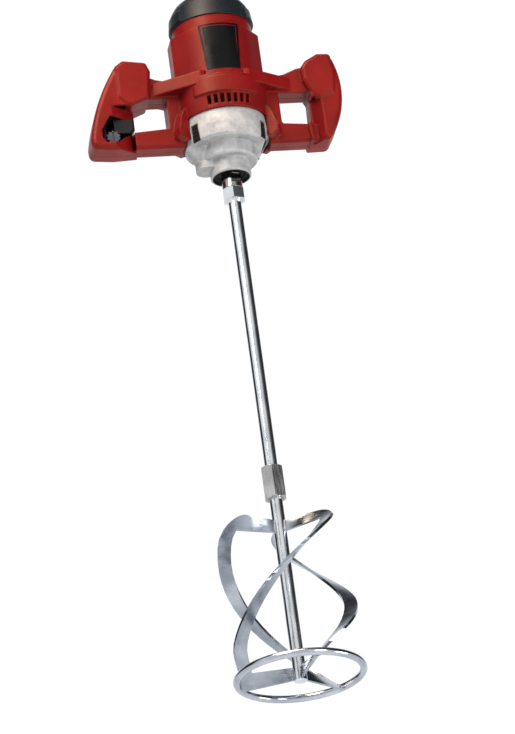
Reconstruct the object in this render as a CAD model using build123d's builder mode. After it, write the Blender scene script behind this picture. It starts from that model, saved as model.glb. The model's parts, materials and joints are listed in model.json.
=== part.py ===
from build123d import *
import os
from math import atan2, cos, degrees, pi, radians, sin, sqrt, tan

os.makedirs("parts", exist_ok=True)

# A hand-held electric paint mixer: a motor in a round housing between two closed hand grips, a
# two-stage gear train below it, and a screwed stirrer rod with three helical blades on a ring.
# Millimetres. Z is the spindle axis, up towards the motor's cap; the name plate faces -Y and the
# trigger grip is on -X. The origin lies on the axis, half way up the hand grips.

# ---------------------------------------------------------------- driving dimensions
# Stirrer
ring_outer_r = 70.0
ring_bar_r = 4.0
ring_z = -655.0
rod_r = 7.0
rod_tip_below_ring = 7.0
stirrer_hex = 22.0
coupling_length = 36.0
coupling_top_z = -420.7
collar_height = 13.0
stub_length = 15.0
blade_thickness = 3.0
blade_width = 14.0
blade_outer_r = 69.0
blade_height = 173.0
blade_foot = 4.0
blade_corner_r = 26.0
blade_pitch = 367.0
blade_count = 3
blade_first_angle = 90.0
hex_turn = 20.0

# Gear housing and spindle
seat_z = -17.5
gear_body_r = 46.0
gear_body_height = 31.5
step_r = 31.0
step_height = 15.0
nose_r = 22.0
nose_height = 16.5
mouth_r = 19.6
gear_wall = 3.5
spindle_r = 11.0
spindle_end_z = -95.0
spindle_flats = 19.0
socket_depth = 17.0
gear_centres = 22.0
first_module = 0.8
first_pinion_teeth = 9
first_wheel_teeth = 46
second_module = 1.0
second_pinion_teeth = 9
second_wheel_teeth = 35
pressure_angle = 25.0
tooth_backlash = 0.12

# Motor housing and cap
housing_r = 44.8
housing_wall = 3.0
housing_top_z = 97.0
housing_bottom_z = 2.0
pad_reach = 48.3
pad_half_width = 12.0
pad_top_z = 85.0
neck_r = 43.4
cap_rim_r = 44.6
cap_shoulder_r = 42.0
cap_top_r = 33.0
cap_height = 31.0
cap_wall = 2.5
lobe_proud = 1.6
lobe_half_angle = 35.0

# Motor
stator_r = 38.0
stator_low_z = 2.5
stator_length = 50.0
winding_room = 17.0
air_gap = 0.6
motor_shaft_r = 4.0
fan_r = 36.0
commutator_r = 13.0
commutator_low_z = 62.0
commutator_length = 20.0

# Handles
hub_r = 49.0
hub_top_z = 24.0
hub_side_x = 61.0
bar_depth = 25.0
bar_low_z = 12.5
bar_top_z = 32.0
rail_low_z = -46.0
rail_top_z = -25.5
opening_outer_x = 97.0
grip_depth = 38.0
hump_depth = 42.0
shell_wall = 3.0
trigger_travel = 6.0
lock_travel = 3.0

# Fits
running_gap = 0.05
moving_gap = 0.5
seat_gap = 0.1

# ---------------------------------------------------------------- derived places
gear_floor_z = seat_z - gear_body_height
step_low_z = gear_floor_z - step_height
nose_end_z = step_low_z - nose_height
cap_rim_z = housing_top_z
cap_top_z = cap_rim_z + cap_height
ring_r = ring_outer_r - ring_bar_r
grip_y = grip_depth / 2
hump_y = hump_depth / 2
bar_y = bar_depth / 2


def bearing(r_in, r_out, width, low_z, x=0.0):
    """Sealed ball bearing: one ring with a shallow shield groove on each face."""
    groove = 0.5
    land = (r_out - r_in) * 0.28
    with BuildPart() as ring:
        with BuildSketch(Plane((x, 0, low_z))):
            Circle(r_out)
            Circle(r_in, mode=Mode.SUBTRACT)
        extrude(amount=width)
        for shield_z in (low_z, low_z + width - groove):
            with BuildSketch(Plane((x, 0, shield_z))):
                Circle(r_out - land)
                Circle(r_in + land, mode=Mode.SUBTRACT)
            extrude(amount=groove, mode=Mode.SUBTRACT)
    return ring.part


def tooth_outline(teeth, module, first_tooth):
    """Closed outline of a spur gear: involute flanks as short chords, one tooth at first_tooth degrees."""
    pitch_r = teeth * module / 2
    base_r = pitch_r * cos(radians(pressure_angle))
    tip_r = pitch_r + 0.8 * module
    root_r = pitch_r - 1.05 * module

    def involute(r):
        roll = sqrt(max(r * r / base_r / base_r - 1, 0))
        return roll - atan2(roll, 1)

    half_tooth = pi / teeth / 2 - tooth_backlash / 4 / pitch_r
    at_pitch = involute(pitch_r)
    flank = [root_r] + [base_r + (tip_r - base_r) * i / 4 for i in range(5)]
    if root_r > base_r:
        flank = [root_r + (tip_r - root_r) * i / 4 for i in range(5)]
    points = []
    for tooth in range(teeth):
        middle = radians(first_tooth) + 2 * pi * tooth / teeth
        rise = [(r, middle - half_tooth - at_pitch + involute(r)) for r in flank]
        fall = [(r, middle + half_tooth + at_pitch - involute(r)) for r in reversed(flank)]
        points += [(r * cos(a), r * sin(a)) for r, a in rise + fall]
    return points


def finish(part, name):
    """Label one sub-part and write its STEP file."""
    part.label = name
    export_step(part, f"parts/{name}.step")


# ---------------------------------------------------------------- motor housing
pad_low_z = bar_top_z + 0.2
end_wall_z = 87.0
end_wall = 2.5
upper_bearing_r = 11.0
upper_bearing_width = 7.0
upper_bearing_z = end_wall_z + 1.0
housing_bore_r = housing_r - housing_wall
tangent_angle = degrees(atan2(pad_half_width, pad_reach))
tangent_turn = degrees(atan2(sqrt(pad_reach**2 + pad_half_width**2 - housing_r**2), housing_r))

with BuildPart() as motor_housing:
    with BuildSketch(Plane.XY.offset(housing_bottom_z)):
        Circle(housing_r)
    extrude(amount=pad_top_z - housing_bottom_z)
    with BuildSketch(Plane.XY.offset(pad_low_z)):
        for side in (0, 180):
            outward = 1 if side == 0 else -1
            touch_x = outward * housing_r * cos(radians(tangent_angle + tangent_turn))
            touch_y = housing_r * sin(radians(tangent_angle + tangent_turn))
            with BuildLine():
                Polyline(
                    (touch_x, -touch_y),
                    (outward * pad_reach, -pad_half_width),
                    (outward * pad_reach, pad_half_width),
                    (touch_x, touch_y),
                    close=True,
                )
            make_face()
    extrude(amount=pad_top_z - pad_low_z)
    fillet(motor_housing.edges().filter_by(Axis.Z).filter_by(lambda e: abs(e.center().X) > pad_reach - 1), 4)
    rims = motor_housing.edges().group_by(Axis.Z)[-1]
    chamfer(rims.filter_by(lambda e: abs(e.center().X) > 1), 1.5)
    with BuildSketch(Plane.XY.offset(pad_top_z)):
        Circle(neck_r)
    extrude(amount=housing_top_z - pad_top_z)
    with BuildSketch(Plane.XY.offset(housing_bottom_z)):
        Circle(housing_bore_r)
    extrude(amount=end_wall_z - housing_bottom_z, mode=Mode.SUBTRACT)
    with BuildSketch(Plane.XY.offset(end_wall_z + end_wall)):
        Circle(neck_r - housing_wall)
        Circle(upper_bearing_r + 2.5, mode=Mode.SUBTRACT)
    extrude(amount=housing_top_z, mode=Mode.SUBTRACT)
    with BuildSketch(Plane.XY.offset(end_wall_z)):
        Circle(upper_bearing_r)
    extrude(amount=upper_bearing_width + 1, mode=Mode.SUBTRACT)
    # air holes between the bearing boss and the brush holders
    with BuildSketch(Plane.XY.offset(end_wall_z)):
        with PolarLocations(26, 12, start_angle=15):
            Circle(4.5)
    extrude(amount=end_wall, mode=Mode.SUBTRACT)
    # four rails that grip the stator stack
    with BuildSketch(Plane.XY.offset(stator_low_z)):
        with PolarLocations((stator_r + housing_bore_r) / 2 + 0.4, 4, start_angle=45):
            Rectangle(housing_bore_r - stator_r + 0.8, 9)
    extrude(amount=stator_length + 3)
    with BuildSketch(Plane.XY.offset(stator_low_z)):
        Circle(stator_r)
    extrude(amount=stator_length, mode=Mode.SUBTRACT)
finish(motor_housing.part, "motor_housing")

# ---------------------------------------------------------------- top cap
cap_shoulder_z = cap_rim_z + 20.0
lobe_height = 17.0
cap_slots = 20

with BuildPart() as top_cap:
    with BuildSketch(Plane.XZ):
        with BuildLine():
            Polyline(
                (0, cap_top_z),
                (cap_top_r, cap_top_z),
                (cap_top_r + 5, cap_top_z - 4.5),
                (cap_shoulder_r, cap_shoulder_z),
                (cap_rim_r, cap_rim_z),
                (cap_rim_r - cap_wall, cap_rim_z),
                (cap_shoulder_r - cap_wall, cap_shoulder_z - cap_wall / 2),
                (cap_top_r, cap_top_z - cap_wall),
                (0, cap_top_z - cap_wall),
                close=True,
            )
        make_face()
    revolve(axis=Axis.Z)
    # a raised lobe on each side, ending in a square step
    for side in (0, 180):
        with BuildSketch(Plane.XZ.rotated((0, 0, side - lobe_half_angle))):
            with BuildLine():
                Polyline(
                    (cap_shoulder_r - cap_wall / 2, cap_rim_z + 2),
                    (cap_rim_r + lobe_proud, cap_rim_z + 2),
                    (cap_rim_r + lobe_proud - 1.4, cap_rim_z + lobe_height - 2.5),
                    (cap_rim_r - 1.5, cap_rim_z + lobe_height),
                    (cap_shoulder_r - cap_wall / 2, cap_rim_z + lobe_height),
                    close=True,
                )
            make_face()
        revolve(axis=Axis.Z, revolution_arc=2 * lobe_half_angle)
    # intake slots in the sloping shoulder
    slot_plane_z = cap_top_z - cap_wall - 1
    with BuildSketch(Plane.XY.offset(slot_plane_z)):
        with PolarLocations(cap_top_r - 9, cap_slots):
            SlotOverall(14, 2.6)
    extrude(amount=cap_wall + 2, mode=Mode.SUBTRACT)
    # two screw posts that reach down to the end wall
    with BuildSketch(Plane.XY.offset(end_wall_z + end_wall)):
        with Locations((0, 35), (0, -35)):
            Circle(3.6)
            Circle(1.5, mode=Mode.SUBTRACT)
    extrude(until=Until.NEXT)
    with Locations((0, 35, cap_top_z), (0, -35, cap_top_z)):
        CounterBoreHole(1.6, 3.1, 9.0)
finish(top_cap.part, "top_cap")

screw_head_z = cap_top_z - 9.0
for number, y in enumerate((35, -35), start=1):
    with BuildPart() as cap_screw:
        with BuildSketch(Plane.XY.offset(screw_head_z).shift_origin((0, y, screw_head_z))):
            Circle(2.9)
        extrude(amount=2.4)
        with BuildSketch(Plane.XY.offset(screw_head_z).shift_origin((0, y, screw_head_z))):
            Circle(1.45)
        extrude(amount=-(screw_head_z - end_wall_z - end_wall - 1))
        head_top = screw_head_z + 2.4
        with BuildSketch(Plane.XY.offset(head_top).shift_origin((0, y, head_top))):
            RegularPolygon(1.5, 6)
        extrude(amount=-1.4, mode=Mode.SUBTRACT)
    finish(cap_screw.part, f"cap_screw_{number}")

# ---------------------------------------------------------------- motor
motor_upper_z = upper_bearing_z
fan_low_z = -11.5
fan_height = 9.0
lower_bearing_z = -21.5
lower_bearing_width = 7.0
lower_bearing_r = 11.0
first_wheel_z = -31.5
first_wheel_width = 6.0
first_pinion_low_z = first_wheel_z - 0.5
rotor_low_z = stator_low_z + 2
rotor_length = stator_length - 4
coil_depth = 4.5
coil_wire = 4.8
yoke = 5.0
rotor_r = stator_r - winding_room

with BuildPart() as armature_shaft:
    with BuildSketch(Plane.XY.offset(lower_bearing_z)):
        Circle(motor_shaft_r)
    extrude(amount=motor_upper_z + upper_bearing_width - moving_gap - lower_bearing_z)
    with BuildSketch(Plane.XY.offset(first_pinion_low_z)):
        with BuildLine():
            Polyline(*tooth_outline(first_pinion_teeth, first_module, 180), close=True)
        make_face()
    extrude(amount=lower_bearing_z - first_pinion_low_z)
finish(armature_shaft.part, "armature_shaft")

rotor_slots = 12
slot_root_r = max(rotor_r - 8.5, motor_shaft_r + 5)
slot_depth = rotor_r - 0.5 - slot_root_r
slot_middle_r = slot_root_r + slot_depth / 2
with BuildPart() as armature_core:
    with BuildSketch(Plane.XY.offset(rotor_low_z)):
        Circle(rotor_r)
        Circle(motor_shaft_r, mode=Mode.SUBTRACT)
        with PolarLocations(slot_middle_r, rotor_slots):
            SlotOverall(slot_depth, 3.6, mode=Mode.SUBTRACT)
        with PolarLocations(rotor_r - 0.5, rotor_slots):
            Rectangle(4, 1.4, mode=Mode.SUBTRACT)
    extrude(amount=rotor_length)
finish(armature_core.part, "armature_core")

winding_r = rotor_r - 1.5
with BuildPart() as armature_windings:
    for low_z, height in ((rotor_low_z - 6, 6), (rotor_low_z + rotor_length, 7)):
        with BuildSketch(Plane.XY.offset(low_z)):
            Circle(winding_r)
            Circle(motor_shaft_r, mode=Mode.SUBTRACT)
        extrude(amount=height)
    fillet(armature_windings.edges().filter_by(GeomType.CIRCLE).filter_by(lambda e: e.radius > 10), 2)
    with BuildSketch(Plane.XY.offset(rotor_low_z)):
        with PolarLocations(slot_middle_r, rotor_slots):
            SlotOverall(slot_depth - 0.4, 3.2)
    extrude(amount=rotor_length)
finish(armature_windings.part, "armature_windings")

commutator_bars = 24
with BuildPart() as commutator:
    with BuildSketch(Plane.XY.offset(commutator_low_z)):
        Circle(commutator_r)
        Circle(motor_shaft_r, mode=Mode.SUBTRACT)
    extrude(amount=commutator_length)
    with BuildSketch(Plane.XY.offset(commutator_low_z)):
        Circle(commutator_r + 1.6)
        Circle(motor_shaft_r, mode=Mode.SUBTRACT)
    extrude(amount=3)
    with BuildSketch(Plane.XY.offset(commutator_low_z)):
        with PolarLocations(commutator_r, commutator_bars):
            Rectangle(1.6, 0.5)
    extrude(amount=commutator_length, mode=Mode.SUBTRACT)
finish(commutator.part, "commutator")

fan_blades = 13
with BuildPart() as cooling_fan:
    with BuildSketch(Plane.XY.offset(fan_low_z)):
        Circle(fan_r)
        Circle(motor_shaft_r, mode=Mode.SUBTRACT)
    extrude(amount=1.6)
    with BuildSketch(Plane.XY.offset(fan_low_z)):
        Circle(9)
        Circle(motor_shaft_r, mode=Mode.SUBTRACT)
    extrude(amount=fan_height)
    with BuildSketch(Plane.XY.offset(fan_low_z)):
        with PolarLocations((fan_r + 15) / 2, fan_blades):
            Rectangle(fan_r - 15.5, 1.4)
    extrude(amount=fan_height)
finish(cooling_fan.part, "cooling_fan")

pole_bore_r = rotor_r + air_gap
pole_half_angle = 55.0
with BuildPart() as stator_core:
    with BuildSketch(Plane.XY.offset(stator_low_z)):
        Circle(stator_r)
        Circle(stator_r - yoke, mode=Mode.SUBTRACT)
    extrude(amount=stator_length)
    # two poles on +Y and -Y, each a shoe round the rotor on a neck
    with BuildSketch(Plane.XY.offset(stator_low_z)):
        Circle(pole_bore_r + 3.5)
        Circle(pole_bore_r, mode=Mode.SUBTRACT)
        Rectangle(2 * stator_r, 2 * pole_bore_r * cos(radians(pole_half_angle)), mode=Mode.SUBTRACT)
        with Locations((0, (stator_r + pole_bore_r) / 2), (0, -(stator_r + pole_bore_r) / 2)):
            Rectangle(18, stator_r - pole_bore_r - 3)
    extrude(amount=stator_length)
finish(stator_core.part, "stator_core")

# the coil stays inside the yoke at its outer face
coil_reach = sqrt((stator_r - yoke)**2 - (pole_bore_r + 1.5 * coil_wire)**2) - seat_gap
coil_width = 2 * min(15, coil_reach)
for number, side in enumerate((1, -1), start=1):
    with BuildPart() as field_coil:
        coil_y = side * (pole_bore_r + coil_wire)
        with BuildSketch(Plane((0, coil_y, stator_low_z + stator_length / 2), x_dir=(1, 0, 0), z_dir=(0, 1, 0))):
            RectangleRounded(coil_width, stator_length + 2 * coil_depth, 4)
            Rectangle(18.6, stator_length + 0.6, mode=Mode.SUBTRACT)
        extrude(amount=coil_wire / 2, both=True)
    finish(field_coil.part, f"field_coil_{number}")

brush_z = commutator_low_z + 11
brush_gap = 0.4
holder_out_x = housing_bore_r - 0.4
for number, turn in enumerate((0, 180), start=1):
    brush_plane = Plane((0, 0, brush_z), x_dir=(-sin(radians(turn)), cos(radians(turn)), 0),
                        z_dir=(cos(radians(turn)), sin(radians(turn)), 0))
    with BuildPart() as brush_holder:
        with BuildSketch(brush_plane.offset(commutator_r + 2.2)):
            RectangleRounded(11, 13, 1)
            Rectangle(6.6, 8.6, mode=Mode.SUBTRACT)
        extrude(amount=holder_out_x - commutator_r - 2.2)
    finish(brush_holder.part, f"brush_holder_{number}")
    with BuildPart() as carbon_brush:
        with BuildSketch(brush_plane.offset(commutator_r + brush_gap)):
            Rectangle(6.4, 8.4)
        extrude(amount=16)
    finish(carbon_brush.part, f"carbon_brush_{number}")

finish(bearing(motor_shaft_r + running_gap, upper_bearing_r, upper_bearing_width, motor_upper_z),
       "motor_bearing_upper")
finish(bearing(motor_shaft_r + running_gap, lower_bearing_r, lower_bearing_width, lower_bearing_z),
       "motor_bearing_lower")

# ---------------------------------------------------------------- gear train
gear_cavity_r = gear_body_r - gear_wall
second_wheel_z = -42.5
second_wheel_width = 9.0
intermediate_r = 3.0
intermediate_bearing_r = 6.5
intermediate_bearing_width = 5.0
intermediate_upper_z = -23.3
intermediate_lower_z = gear_floor_z + 3.0 - 5.2
plate_low_z = seat_z - 6.3
plate_top_z = seat_z - 0.3
spindle_upper_r = 6.0
spindle_lower_r = 7.5
spindle_upper_bearing_r = 14.0
spindle_upper_bearing_width = 8.0
spindle_lower_bearing_r = 17.5
spindle_lower_bearing_width = 11.0
floor_z = gear_floor_z + gear_wall
spindle_upper_z = floor_z - spindle_upper_bearing_width - 0.5
spindle_lower_z = -71.0
wheel_pitch_r = second_wheel_teeth * second_module / 2

with BuildPart() as intermediate_shaft:
    with BuildSketch(Plane((-gear_centres, 0, intermediate_lower_z + moving_gap))):
        Circle(intermediate_r)
    extrude(amount=intermediate_upper_z + intermediate_bearing_width - intermediate_lower_z - 2 * moving_gap)
    with BuildSketch(Plane((-gear_centres, 0, second_wheel_z - 0.5))):
        with BuildLine():
            Polyline(*tooth_outline(second_pinion_teeth, second_module, 0), close=True)
        make_face()
    extrude(amount=first_wheel_z - second_wheel_z + 0.5)
finish(intermediate_shaft.part, "intermediate_shaft")

first_wheel_r = first_wheel_teeth * first_module / 2
with BuildPart() as intermediate_gear:
    with BuildSketch(Plane((-gear_centres, 0, first_wheel_z))):
        with BuildLine():
            Polyline(*tooth_outline(first_wheel_teeth, first_module, 180 / first_wheel_teeth), close=True)
        make_face()
        Circle(intermediate_r, mode=Mode.SUBTRACT)
    extrude(amount=first_wheel_width)
    with BuildSketch(Plane((-gear_centres, 0, first_wheel_z + first_wheel_width))):
        Circle(first_wheel_r - 3)
        Circle(7, mode=Mode.SUBTRACT)
    extrude(amount=-1.2, mode=Mode.SUBTRACT)
finish(intermediate_gear.part, "intermediate_gear")

with BuildPart() as output_gear:
    with BuildSketch(Plane.XY.offset(second_wheel_z)):
        with BuildLine():
            Polyline(*tooth_outline(second_wheel_teeth, second_module, 180 + 180 / second_wheel_teeth), close=True)
        make_face()
        Circle(spindle_upper_r, mode=Mode.SUBTRACT)
    extrude(amount=second_wheel_width)
    with BuildSketch(Plane.XY.offset(second_wheel_z + second_wheel_width)):
        Circle(wheel_pitch_r - 3.2)
        Circle(9.5, mode=Mode.SUBTRACT)
    extrude(amount=-1.2, mode=Mode.SUBTRACT)
finish(output_gear.part, "output_gear")

spindle_top_z = second_wheel_z + second_wheel_width + 0.3
shoulder_z = spindle_lower_z - 0.6
with BuildPart() as output_spindle:
    with BuildSketch(Plane.XY.offset(spindle_upper_z)):
        Circle(spindle_upper_r)
    extrude(amount=spindle_top_z - spindle_upper_z)
    with BuildSketch(Plane.XY.offset(shoulder_z)):
        Circle(spindle_lower_r)
    extrude(amount=spindle_upper_z - shoulder_z)
    with BuildSketch(Plane.XY.offset(spindle_end_z)):
        Circle(spindle_r)
    extrude(amount=shoulder_z - spindle_end_z)
    chamfer(output_spindle.edges().group_by(Axis.Z)[0], 0.6)
    flats_top_z = shoulder_z - 7
    flats_height = 11.0
    with BuildSketch(Plane.XY.offset(flats_top_z).rotated((0, 0, hex_turn))):
        Rectangle(2 * spindle_r, 2 * spindle_r)
        Rectangle(2 * spindle_r, spindle_flats, mode=Mode.SUBTRACT)
    extrude(amount=-flats_height, mode=Mode.SUBTRACT)
    with BuildSketch(Plane.XY.offset(spindle_end_z)):
        Circle(rod_r + running_gap)
    extrude(amount=socket_depth, mode=Mode.SUBTRACT)
finish(output_spindle.part, "output_spindle")

finish(bearing(intermediate_r + running_gap, intermediate_bearing_r, intermediate_bearing_width,
               intermediate_upper_z, -gear_centres), "intermediate_bearing_upper")
finish(bearing(intermediate_r + running_gap, intermediate_bearing_r, intermediate_bearing_width,
               intermediate_lower_z, -gear_centres), "intermediate_bearing_lower")
finish(bearing(spindle_upper_r + running_gap, spindle_upper_bearing_r, spindle_upper_bearing_width,
               spindle_upper_z), "spindle_bearing_upper")
finish(bearing(spindle_lower_r + running_gap, spindle_lower_bearing_r, spindle_lower_bearing_width,
               spindle_lower_z), "spindle_bearing_lower")

circlip_z = spindle_lower_z - 1.5
circlip_thick = 1.2
with BuildPart() as spindle_circlip:
    with BuildSketch(Plane.XY.offset(circlip_z)):
        Circle(spindle_lower_bearing_r + 1)
        Circle(spindle_lower_bearing_r - 2.5, mode=Mode.SUBTRACT)
        with Locations((spindle_lower_bearing_r - 1, 0)):
            Rectangle(5, 7, mode=Mode.SUBTRACT)
    extrude(amount=circlip_thick)
finish(spindle_circlip.part, "spindle_circlip")

seal_low_z = -76.5
seal_height = 3.5
with BuildPart() as spindle_seal:
    with BuildSketch(Plane.XY.offset(seal_low_z)):
        Circle(spindle_lower_bearing_r)
        Circle(spindle_r + running_gap, mode=Mode.SUBTRACT)
    extrude(amount=seal_height)
    with BuildSketch(Plane.XY.offset(seal_low_z)):
        Circle(spindle_lower_bearing_r - 2)
        Circle(spindle_r + 1.2, mode=Mode.SUBTRACT)
    extrude(amount=1.2, mode=Mode.SUBTRACT)
finish(spindle_seal.part, "spindle_seal")

# ---------------------------------------------------------------- bearing plate
plate_thick = 3.2
gear_screw_r = gear_cavity_r - 4.5
gear_screw_head_r = 3.4
gear_screw_angles = (45, 135, 225, 315)
with BuildPart() as bearing_plate:
    with BuildSketch(Plane.XY.offset(plate_top_z)):
        Circle(gear_cavity_r - seat_gap)
    extrude(amount=-plate_thick)
    # bosses round the two upper bearings
    with BuildSketch(Plane.XY.offset(lower_bearing_z)):
        Circle(14)
    extrude(amount=lower_bearing_width + 0.5)
    with BuildSketch(Plane((-gear_centres, 0, intermediate_upper_z))):
        Circle(intermediate_bearing_r + 3)
    extrude(amount=plate_top_z - intermediate_upper_z)
    with BuildSketch(Plane.XY.offset(lower_bearing_z)):
        Circle(11)
    extrude(amount=lower_bearing_width, mode=Mode.SUBTRACT)
    with BuildSketch(Plane.XY.offset(lower_bearing_z)):
        Circle(motor_shaft_r + 2)
    extrude(amount=lower_bearing_width + 1, mode=Mode.SUBTRACT)
    with BuildSketch(Plane((-gear_centres, 0, intermediate_upper_z))):
        Circle(intermediate_bearing_r)
    extrude(amount=intermediate_bearing_width, mode=Mode.SUBTRACT)
    with BuildSketch(Plane.XY.offset(plate_top_z)):
        with PolarLocations(gear_screw_r, 4, start_angle=45):
            Circle(2.1)
    extrude(amount=-plate_thick, mode=Mode.SUBTRACT)
finish(bearing_plate.part, "bearing_plate")

# ---------------------------------------------------------------- gear housing
lobe_x = -24.0
boss_r = 13.0
boss_end_z = -72.0
window_angles = (215, 322, 38, 145)
window_width = 11.0
window_height = 20.0
window_z = -38.0

with BuildPart() as gear_housing:
    with BuildSketch(Plane.XZ):
        with BuildLine():
            Polyline(
                (0, seat_z),
                (gear_body_r - 0.8, seat_z),
                (gear_body_r + 0.8, seat_z - 16),
                (gear_body_r - 0.5, gear_floor_z + 2),
                (gear_body_r - 3, gear_floor_z),
                (step_r + 1, gear_floor_z),
                (step_r, step_low_z + 1.5),
                (step_r - 1.5, step_low_z),
                (nose_r + 0.6, step_low_z),
                (nose_r, nose_end_z + 0.8),
                (nose_r - 0.8, nose_end_z),
                (0, nose_end_z),
                close=True,
            )
        make_face()
    revolve(axis=Axis.Z)
    # the intermediate shaft's lobe and bearing boss
    with BuildSketch(Plane((lobe_x, 0, gear_floor_z + 2))):
        Circle(21)
    with BuildSketch(Plane((lobe_x, 0, boss_end_z + 9))):
        Circle(boss_r)
    loft()
    with BuildSketch(Plane((lobe_x, 0, boss_end_z))):
        Circle(boss_r)
    extrude(amount=gear_floor_z - boss_end_z)
    # the cut-away corner on the other side
    with BuildSketch(Plane.XZ.offset(-60)):
        with BuildLine():
            Polyline((35, gear_floor_z - 1), (60, gear_floor_z - 1), (60, gear_floor_z + 12), (44.5, gear_floor_z + 10),
                     close=True)
        make_face()
    extrude(amount=120, mode=Mode.SUBTRACT)
    # gear space, bearing seats and the spindle's way out
    with BuildSketch(Plane.XY.offset(floor_z)):
        Circle(gear_cavity_r)
    extrude(amount=seat_z - floor_z, mode=Mode.SUBTRACT)
    with BuildSketch(Plane.XY.offset(floor_z)):
        Circle(spindle_upper_bearing_r)
    extrude(amount=spindle_upper_z - floor_z, mode=Mode.SUBTRACT)
    with BuildSketch(Plane((-gear_centres, 0, floor_z))):
        Circle(intermediate_bearing_r)
    extrude(amount=intermediate_lower_z - floor_z, mode=Mode.SUBTRACT)
    with BuildSketch(Plane.XY.offset(nose_end_z)):
        Circle(spindle_lower_bearing_r)
    extrude(amount=spindle_lower_z + spindle_lower_bearing_width - nose_end_z, mode=Mode.SUBTRACT)
    with BuildSketch(Plane.XY.offset(nose_end_z)):
        Circle(mouth_r)
    extrude(amount=seal_low_z - nose_end_z, mode=Mode.SUBTRACT)
    with BuildSketch(Plane.XY.offset(circlip_z)):
        Circle(spindle_lower_bearing_r + 1)
    extrude(amount=circlip_thick, mode=Mode.SUBTRACT)
    with BuildSketch(Plane.XY.offset(nose_end_z)):
        Circle(spindle_lower_r + 3)
    extrude(amount=floor_z - nose_end_z, mode=Mode.SUBTRACT)
    # screw pillars inside the wall
    with BuildSketch(Plane.XY.offset(floor_z)):
        with PolarLocations(gear_screw_r + 0.5, 4, start_angle=45):
            Circle(4.6)
    extrude(amount=plate_top_z - plate_thick - floor_z)
    with BuildSketch(Plane.XY.offset(plate_top_z - plate_thick)):
        with PolarLocations(gear_screw_r, 4, start_angle=45):
            Circle(1.7)
    extrude(amount=-14, mode=Mode.SUBTRACT)
    # shallow window recesses, each closed by a dark louvre
    for angle in window_angles:
        across = Plane((0, 0, window_z), x_dir=(-sin(radians(angle)), cos(radians(angle)), 0),
                       z_dir=(cos(radians(angle)), sin(radians(angle)), 0))
        with BuildSketch(across.offset(gear_body_r - 2.2)):
            RectangleRounded(window_width, window_height, 1)
        extrude(amount=10, mode=Mode.SUBTRACT)
finish(gear_housing.part, "gear_housing")

for number, angle in enumerate(window_angles, start=1):
    across = Plane((0, 0, window_z), x_dir=(-sin(radians(angle)), cos(radians(angle)), 0),
                   z_dir=(cos(radians(angle)), sin(radians(angle)), 0))
    with BuildPart() as louvre:
        with BuildSketch(across.offset(gear_body_r - 2.2)):
            RectangleRounded(window_width - 0.4, window_height - 0.4, 0.8)
        extrude(amount=0.9)
        with BuildSketch(across.offset(gear_body_r - 1.3)):
            with GridLocations(0, 4.2, 1, 4):
                Rectangle(window_width - 2, 1.4)
        extrude(amount=0.7)
    finish(louvre.part, f"louvre_{number}")

for number, angle in enumerate(gear_screw_angles, start=1):
    screw_x = gear_screw_r * cos(radians(angle))
    screw_y = gear_screw_r * sin(radians(angle))
    with BuildPart() as gear_screw:
        with BuildSketch(Plane((screw_x, screw_y, plate_top_z))):
            Circle(gear_screw_head_r)
        extrude(amount=2.6)
        with BuildSketch(Plane((screw_x, screw_y, plate_top_z))):
            Circle(1.65)
        extrude(amount=-15)
        with BuildSketch(Plane((screw_x, screw_y, plate_top_z + 2.6))):
            RegularPolygon(1.7, 6)
        extrude(amount=-1.6, mode=Mode.SUBTRACT)
    finish(gear_screw.part, f"gear_screw_{number}")

# ---------------------------------------------------------------- stirrer
collar_top_z = spindle_end_z
collar_low_z = collar_top_z - collar_height
coupling_low_z = coupling_top_z - coupling_length
hex_r = stirrer_hex / 2 / cos(radians(30))
rods_meet_z = (coupling_top_z + coupling_low_z) / 2
collar_neck_r = 9.0

with BuildPart() as upper_rod:
    with BuildSketch(Plane.XY.offset(rods_meet_z + 0.5)):
        Circle(rod_r)
    extrude(amount=collar_top_z + stub_length - rods_meet_z - 0.5)
    with BuildSketch(Plane.XY.offset(collar_low_z).rotated((0, 0, hex_turn))):
        RegularPolygon(hex_r, 6)
    extrude(amount=collar_height)
    # the hexagon's corners are turned down by a cone at each end
    with BuildSketch(Plane.XZ):
        with BuildLine():
            Polyline(
                (stirrer_hex / 2 - 0.3, collar_top_z),
                (hex_r + 1, collar_top_z - (hex_r + 1.3 - stirrer_hex / 2) * tan(radians(30))),
                (hex_r + 1, collar_top_z + 1),
                (stirrer_hex / 2 - 0.3, collar_top_z + 1),
                close=True,
            )
            Polyline(
                (stirrer_hex / 2 - 1.5, collar_low_z),
                (hex_r + 1, collar_low_z + (hex_r + 2.5 - stirrer_hex / 2) * tan(radians(40))),
                (hex_r + 1, collar_low_z - 1),
                (stirrer_hex / 2 - 1.5, collar_low_z - 1),
                close=True,
            )
        make_face()
    revolve(axis=Axis.Z, mode=Mode.SUBTRACT)
    with BuildSketch(Plane.XY.offset(collar_low_z - 3)):
        Circle(rod_r)
    with BuildSketch(Plane.XY.offset(collar_low_z)):
        Circle(collar_neck_r)
    loft()
    chamfer(upper_rod.edges().group_by(Axis.Z)[-1], 1)
finish(upper_rod.part, "upper_rod")

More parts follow.
